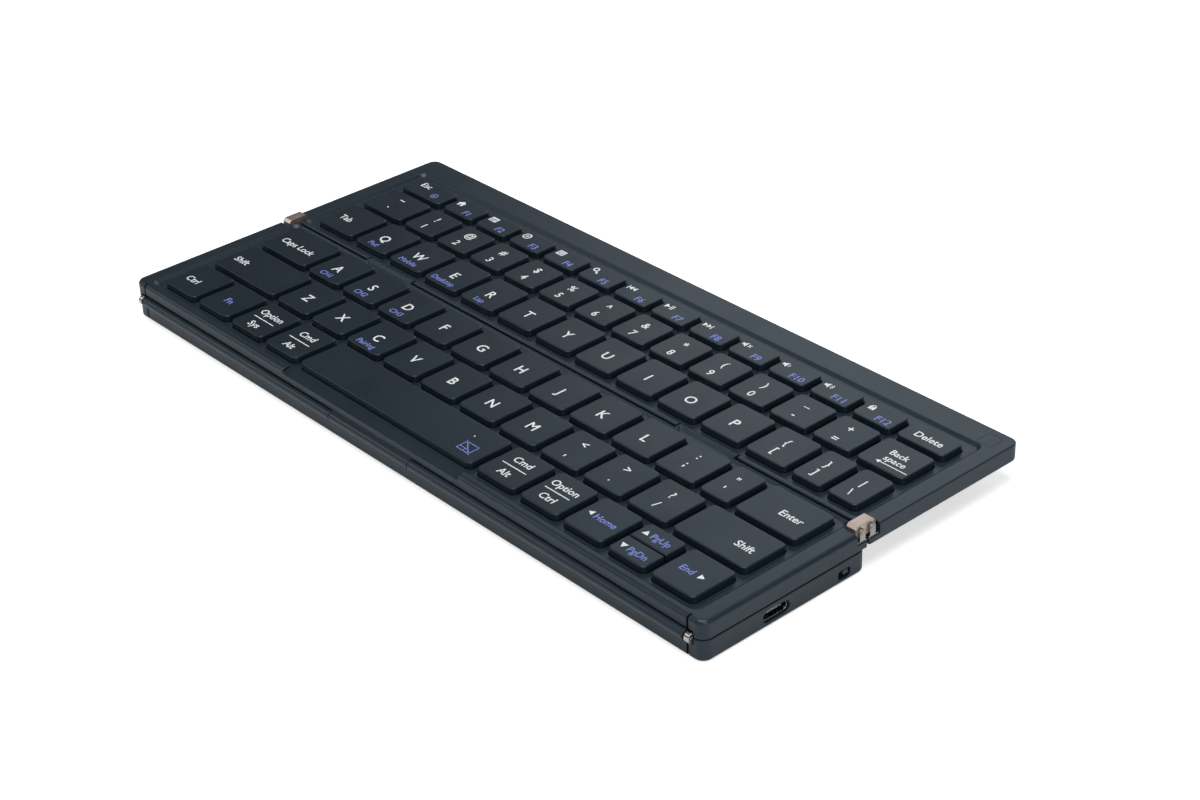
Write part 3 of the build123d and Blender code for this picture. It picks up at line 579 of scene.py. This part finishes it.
def mark_shape(node, x, y, loops, colour="white", size=1.0):
    """A filled drawing of closed outlines in mm; an outline inside another is a hole."""
    curve = bpy.data.curves.new("mark", "CURVE")
    curve.dimensions, curve.fill_mode = "2D", "BOTH"
    curve.extrude = film
    for loop in loops:
        line = curve.splines.new("POLY")
        line.points.add(len(loop) - 1)
        for point, (u, v) in zip(line.points, loop):
            point.co = (u * size, v * size, 0, 1)
        line.use_cyclic_u = True
    marks.append((node, colour, curve, x, y, False))


def round_loop(radius, u=0.0, v=0.0, count=20):
    """A circle."""
    turns = [math.tau * k / count for k in range(count)]
    return [(u + radius * math.cos(a), v + radius * math.sin(a)) for a in turns]


def bar_loop(u0, v0, u1, v1, width):
    """A straight stroke from one point to another."""
    length = math.hypot(u1 - u0, v1 - v0)
    du, dv = -(v1 - v0) / length * width / 2, (u1 - u0) / length * width / 2
    return [(u0 + du, v0 + dv), (u0 - du, v0 - dv), (u1 - du, v1 - dv), (u1 + du, v1 + dv)]


def box_loop(u0, v0, u1, v1):
    """An upright rectangle from its lower left to its upper right corner."""
    return [(u0, v0), (u1, v0), (u1, v1), (u0, v1)]


def arc_strokes(radius, width, start, end, u=0.0, v=0.0, count=8):
    """A curved stroke, angles in degrees."""
    angles = [math.radians(start + (end - start) * k / count) for k in range(count + 1)]
    far, near = radius + width / 2, radius - width / 2
    outer = [(u + far * math.cos(a), v + far * math.sin(a)) for a in angles]
    inner = [(u + near * math.cos(a), v + near * math.sin(a)) for a in reversed(angles)]
    return outer + inner


def speaker(waves, crossed=False):
    """Sound sign: a loudspeaker with none, one or two waves, or a cross."""
    loops = [[(-1.3, -0.35), (-0.75, -0.35), (-0.1, -0.9), (-0.1, 0.9), (-0.75, 0.35), (-1.3, 0.35)]]
    for k in range(waves):
        loops.append(arc_strokes(0.55 + 0.42 * k, 0.2, -48, 48, -0.05))
    if crossed:
        loops += [bar_loop(0.35, -0.45, 1.15, 0.45, 0.22)]
        loops += [bar_loop(0.35, 0.45, 0.65, 0.11, 0.22), bar_loop(0.84, -0.1, 1.15, -0.45, 0.22)]
    return loops


# a house, a page of lines, a ring with a needle, a grid, a magnifier, track back, play and pause,
# track on, a speaker with a cross, with one wave and with two, a padlock
signs = {
    "F1": [
        [(-1.25, 0.05), (0, 1.15), (1.25, 0.05), (0.85, 0.05), (0.85, -0.95), (-0.85, -0.95), (-0.85, 0.05)],
        box_loop(-0.25, -0.95, 0.25, -0.3),
    ],
    "F2": [
        box_loop(-1.2, -0.85, 1.2, 0.95), box_loop(-0.95, 0.2, 0.95, 0.42), box_loop(-0.95, -0.2, 0.95, 0.0),
        box_loop(-0.95, -0.6, 0.3, -0.4),
    ],
    "F3": [round_loop(1.15), round_loop(0.85), [(0.6, 0.6), (-0.2, 0.2), (-0.6, -0.6), (0.2, -0.2)]],
    "F4": [
        box_loop(-1.1, -0.95, 1.1, 0.95),
        *[box_loop(u, v, u + 0.4, v + 0.3) for u in (-0.8, -0.2, 0.4) for v in (-0.7, -0.2, 0.3)],
    ],
    "F5": [round_loop(0.8, -0.3, 0.3), round_loop(0.42, -0.3, 0.3), bar_loop(0.2, -0.2, 1.1, -1.05, 0.46)],
    "F6": [
        [(0.1, 0), (1.2, 0.75), (1.2, -0.75)], [(-1.0, 0), (0.05, 0.75), (0.05, -0.75)],
        box_loop(-1.3, -0.75, -1.06, 0.75),
    ],
    "F7": [
        [(0.1, 0), (-1.2, 0.8), (-1.2, -0.8)], box_loop(0.35, -0.8, 0.62, 0.8), box_loop(0.88, -0.8, 1.15, 0.8),
    ],
    "F8": [
        [(-0.1, 0), (-1.2, 0.75), (-1.2, -0.75)], [(1.0, 0), (-0.05, 0.75), (-0.05, -0.75)],
        box_loop(1.06, -0.75, 1.3, 0.75),
    ],
    "F9": speaker(0, True),
    "F10": speaker(1),
    "F11": speaker(2),
    "F12": [
        box_loop(-0.75, -0.9, 0.75, 0.2), box_loop(-0.1, -0.6, 0.1, -0.1), arc_strokes(0.5, 0.22, 0, 180, 0, 0.22),
    ],
}

# letter and number keys, each group of like keys from its own caps
letter_cap, number_cap, second_cap = 3.25, 2.65, 1.95
seconds = {
    "Q": "Pad", "W": "Mobile", "E": "Desktop", "R": "Lap", "A": "CH1", "S": "CH2", "D": "CH3", "C": "Pairing",
}
rows_of_caps = {
    "keys_q_to_r": "QWER", "keys_t_to_i": "TYUI", "keys_a_to_f": "ASDF", "keys_g_to_k": "GHJK",
    "keys_z_to_v": "ZXCV", "keys_b_to_m": "BNM",
}
pairs_of_caps = {
    "keys_grave_to_4": ["`~", "1!", "2@", "3#", "4$"], "keys_5_to_8": ["5%", "6^", "7&", "8*"],
    "keys_9_to_equals": ["9(", "0)", "-_", "=+"], "keys_o_to_brackets": ["O", "P", "[{", "]}"],
    "keys_l_to_quote": ["L", ";:", "'\""], "keys_comma_to_slash": [",<", ".>", "/?"], "key_backslash": ["\\|"],
}


def cap_places(node):
    """Middle of each cap of the node, in mm."""
    return [((low.x + high.x) / 2 / mm, (low.y + high.y) / 2 / mm) for low, high in parts_of(node, "x")]


letter_x, letter_y = -0.3, -0.9         # from the cap's middle, mm, as all the places below
second_x, second_y = -0.5, -5.2
for node, letters in rows_of_caps.items():
    for (x, y), letter in zip(cap_places(node), letters):
        mark_words(node, x + letter_x, y + letter_y, letter, letter_cap)
        if letter in seconds:
            mark_words(node, x + second_x, y + second_y, seconds[letter], second_cap, "blue")

# the digits and the signs behind them; some signs stand higher or lower, by their own middles
sign_x, lower_y, upper_y = -0.4, -3.35, 1.95
sign_y = {
    "`": -3.2, "~": 2.6, "^": 2.4, "*": 2.6, "-": -3.5, "_": 1.8, "=": -4.0, "+": 2.2, ";": -2.6, ":": 2.4,
    "'": -2.6, '"': 2.5, ",": -4.4, ".": -4.2, "<": 2.8, ">": 2.7, "/": -3.0, "?": 2.5, "[": -3.4, "{": 1.5,
    "]": -3.4, "}": 1.5, "\\": -3.5, "|": 1.2,
}
for node, pairs in pairs_of_caps.items():
    for (x, y), pair in zip(cap_places(node), pairs):
        if len(pair) == 1:
            mark_words(node, x + letter_x, y + letter_y, pair, letter_cap)
            continue
        for sign, usual in zip(pair, (lower_y, upper_y)):
            mark_words(node, x + sign_x, y + sign_y.get(sign, usual), sign, number_cap, centred=True)

# function keys: the drawn sign behind at the left, the blue name before it at the right
icon_x, icon_y, icon_size = -3.9, 1.35, 1.35
name_x, name_y, word_cap = 2.6, -1.9, 2.4
for node, first_number in (("keys_f1_to_f6", 1), ("keys_f7_to_f12", 7)):
    for number, (x, y) in enumerate(cap_places(node), first_number):
        mark_shape(node, x + icon_x, y + icon_y, signs[f"F{number}"], size=icon_size)
        mark_words(node, x + name_x, y + name_y, f"F{number}", word_cap, "blue")

# the other keys: node, middle of the word in mm, word, height of a capital, ink
two_line_cap, page_cap = 2.2, 2.15
for node, x, y, words, cap, colour in (
    ("key_esc", -107.1, 43.0, "Esc", word_cap, "white"),
    ("key_delete", 106.6, 41.1, "Delete", word_cap, "white"),
    ("key_backspace", 106.6, 29.7, "Back", two_line_cap, "white"),
    ("key_backspace", 107.8, 26.6, "space", two_line_cap, "white"),
    ("key_tab", -107.4, 11.1, "Tab", word_cap, "white"),
    ("key_caps_lock", -102.6, -11.0, "Caps Lock", word_cap, "white"),
    ("key_enter", 106.9, -10.7, "Enter", word_cap, "white"),
    ("key_left_shift", -107.2, -28.4, "Shift", word_cap, "white"),
    ("key_right_shift", 107.9, -28.1, "Shift", word_cap, "white"),
    ("key_left_ctrl", -107.6, -45.8, "Ctrl", word_cap, "white"),
    ("key_fn", -88.8, -45.8, "Fn", word_cap, "blue"),
    ("key_left_option", -71.8, -42.3, "Option", word_cap, "white"),
    ("key_left_option", -71.9, -48.7, "Sys", word_cap, "white"),
    ("key_left_command", -54.6, -42.1, "Cmd", word_cap, "white"),
    ("key_left_command", -54.7, -48.6, "Alt", word_cap, "white"),
    ("key_right_command", 40.2, -41.9, "Cmd", word_cap, "white"),
    ("key_right_command", 40.0, -48.3, "Alt", word_cap, "white"),
    ("key_right_option", 57.1, -42.1, "Option", word_cap, "white"),
    ("key_right_option", 57.0, -48.2, "Ctrl", word_cap, "white"),
    ("key_home", 75.5, -45.0, "Home", page_cap, "blue"),
    ("key_page_up", 91.6, -41.0, "PgUp", page_cap, "blue"),
    ("key_page_down", 91.6, -48.9, "PgDn", page_cap, "blue"),
    ("key_end", 105.0, -44.8, "End", page_cap, "blue"),
):
    mark_words(node, x, y, words, cap, colour)

# the rule between the two words of the keys that change with the system
rule_half, rule_thick = 4.7, 0.17
for node, x, y in (
    ("key_left_option", -71.8, -45.5), ("key_left_command", -54.7, -45.3),
    ("key_right_command", 40.05, -45.1), ("key_right_option", 57.0, -45.1),
):
    mark_shape(node, x, y, [box_loop(-rule_half, -rule_thick, rule_half, rule_thick)])
for node, x, y, triangle in (
    ("key_home", 69.8, -44.7, [(-1.0, 0), (0.8, 1.0), (0.8, -1.0)]),
    ("key_end", 109.9, -44.8, [(1.0, 0), (-0.8, -1.0), (-0.8, 1.0)]),
    ("key_page_up", 86.4, -41.1, [(0, 1.0), (-1.1, -0.8), (1.1, -0.8)]),
    ("key_page_down", 86.3, -48.8, [(0, -1.0), (1.1, 0.8), (-1.1, 0.8)]),
):
    mark_shape(node, x, y, [triangle])

# lock sign on the first key, arrow on the rubbing-out key
round_lock = [
    round_loop(1.35), round_loop(1.05), box_loop(-0.5, -0.55, 0.5, 0.1), arc_strokes(0.3, 0.18, 0, 180, 0, 0.2),
]
mark_shape("key_esc", -99.9, 40.0, round_lock, "blue")
left_arrow = [(-5.3, 0), (-3.9, 0.8), (-3.9, 0.16), (5.3, 0.16), (5.3, -0.16), (-3.9, -0.16), (-3.9, -0.8)]
mark_shape("key_backspace", 108.6, 24.1, [left_arrow])

# touchpad on and off, on the long bar: a pad with its two buttons, crossed out; a printed dot behind it
for strokes in (
    [box_loop(-2.6, -2.05, 2.6, 2.05), box_loop(-2.3, -1.75, 2.3, 1.75)],
    [bar_loop(-2.9, 2.3, 2.9, -2.3, 0.34)],
    [bar_loop(-2.3, -0.7, 0.75, -0.7, 0.26)],
    [bar_loop(0, -1.75, 0, -0.83, 0.26)],
):
    mark_shape("key_space", 23.8, -47.4, strokes, "blue")
mark_shape("key_space", 20.7, -42.5, [round_loop(0.26)])

# print them: every mark becomes mesh, is set down on its cap and joined with its neighbours
stands = []
for mark in marks:
    stand = bpy.data.objects.new("mark", mark[2])
    bpy.context.scene.collection.objects.link(stand)
    stands.append(stand)
bpy.context.view_layer.update()
settled = bpy.context.evaluated_depsgraph_get()
prints = {}
for (node, colour, curve, x, y, centred), stand in zip(marks, stands):
    mesh = bpy.data.meshes.new_from_object(stand.evaluated_get(settled))
    if centred:
        y -= (min(v.co.y for v in mesh.vertices) + max(v.co.y for v in mesh.vertices)) / 2
    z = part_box(node)[1].z + film_lift * mm
    corners, faces = prints.setdefault((node, colour), ([], []))
    start = len(corners)
    corners.extend(((v.co.x + x) * mm, (v.co.y + y) * mm, v.co.z * mm + z) for v in mesh.vertices)
    faces.extend(tuple(start + v for v in polygon.vertices) for polygon in mesh.polygons)
    bpy.data.meshes.remove(mesh)
for stand in stands:
    bpy.data.objects.remove(stand)
for (node, colour), (corners, faces) in prints.items():
    mesh = bpy.data.meshes.new(f"legend_{colour}_{node}")
    mesh.from_pydata(corners, [], faces)
    mesh.materials.append(inks[colour])
    legend = bpy.data.objects.new(mesh.name, mesh)
    bpy.context.scene.collection.objects.link(legend)
    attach(legend, node)


# ---- Studio -----------------------------------------------------------------------
# White paper floor, a large soft lamp low behind the keyboard, one overhead, weaker ones at
# the right and left, and the camera at the height and angle of the photograph.
def paper(name, colour, glow):
    """White paper that shows as white to the camera."""
    material = bpy.data.materials.new(name)
    material.use_nodes = True
    tree = material.node_tree
    tree.nodes.remove(tree.nodes["Principled BSDF"])
    matt = tree.nodes.new("ShaderNodeBsdfDiffuse")
    matt.inputs["Color"].default_value = linear(*colour)
    shine = tree.nodes.new("ShaderNodeEmission")
    path = tree.nodes.new("ShaderNodeLightPath")
    seen = add_math(tree, "MAXIMUM", path.outputs["Is Camera Ray"], path.outputs["Is Transmission Ray"])
    tree.links.new(add_math(tree, "MULTIPLY", seen, glow), shine.inputs["Strength"])
    both = tree.nodes.new("ShaderNodeAddShader")
    tree.links.new(matt.outputs[0], both.inputs[0])
    tree.links.new(shine.outputs[0], both.inputs[1])
    tree.links.new(both.outputs[0], tree.nodes["Material Output"].inputs["Surface"])
    return material


floor_mesh = bpy.data.meshes.new("floor")
turns, floor_radius, floor_z = 96, 2.6, -0.02 * mm
corners, faces = [(0, 0, floor_z)], []
for k in range(turns):
    angle = math.tau * k / turns
    corners.append((floor_radius * math.cos(angle), floor_radius * math.sin(angle), floor_z))
    faces.append((0, 1 + k, 1 + (k + 1) % turns))
floor_mesh.from_pydata(corners, [], faces)
floor_mesh.materials.append(paper("floor_paper", (238, 238, 238), 0.58))
floor = bpy.data.objects.new("floor", floor_mesh)
bpy.context.scene.collection.objects.link(floor)


def window_light(name, place, width, height, power, colour):
    """A soft rectangular lamp aimed at the keyboard; place and size in metres, power in watts."""
    lamp = bpy.data.lights.new(name, "AREA")
    lamp.shape, lamp.size, lamp.size_y = "RECTANGLE", width, height
    lamp.energy, lamp.color = power, colour
    stand = bpy.data.objects.new(name, lamp)
    stand.location = place
    stand.rotation_mode = "QUATERNION"
    stand.rotation_quaternion = (-Vector(place)).to_track_quat("-Z", "Y")
    bpy.context.scene.collection.objects.link(stand)


window_light("window", (-0.4, 1.51, 0.9), 2.1, 1.15, 7.4, (0.93, 0.97, 1.0))
window_light("side_fill", (1.5, -0.5, 0.8), 0.9, 0.8, 8.0, (1.0, 0.99, 0.98))
window_light("left_fill", (-1.2, -0.9, 0.9), 0.8, 0.8, 3.0, (0.97, 1.0, 1.0))
window_light("overhead", (0.1, -0.2, 1.6), 1.2, 1.2, 18.0, (1.0, 1.0, 1.0))

world = bpy.data.worlds.new("studio")
bpy.context.scene.world = world
world.use_nodes = True
sky = world.node_tree.nodes["Background"]
sky.inputs["Color"].default_value, sky.inputs["Strength"].default_value = (0.93, 0.96, 1.0, 1.0), 0.1

# the camera as fitted to the photograph's key grid: lens in mm, its axes and its place in metres
bpy.context.scene.view_settings.view_transform = "Standard"
camera_data = bpy.data.cameras.new("camera")
camera_data.lens, camera_data.sensor_width = 73.71, 36.0
camera_data.clip_start, camera_data.clip_end = 0.01, 20.0
camera = bpy.data.objects.new("camera", camera_data)
right = Vector((0.6675, 0.7439, -0.0336))
up = Vector((-0.3641, 0.3654, 0.8567))
ahead = Vector((-0.6495, 0.5596, -0.5147))
camera_frame = Matrix((right, up, -ahead)).transposed().to_4x4()
camera_frame.translation = (0.4632, -0.37935, 0.3559)
camera.matrix_world = camera_frame
bpy.context.scene.collection.objects.link(camera)
bpy.context.scene.camera = camera
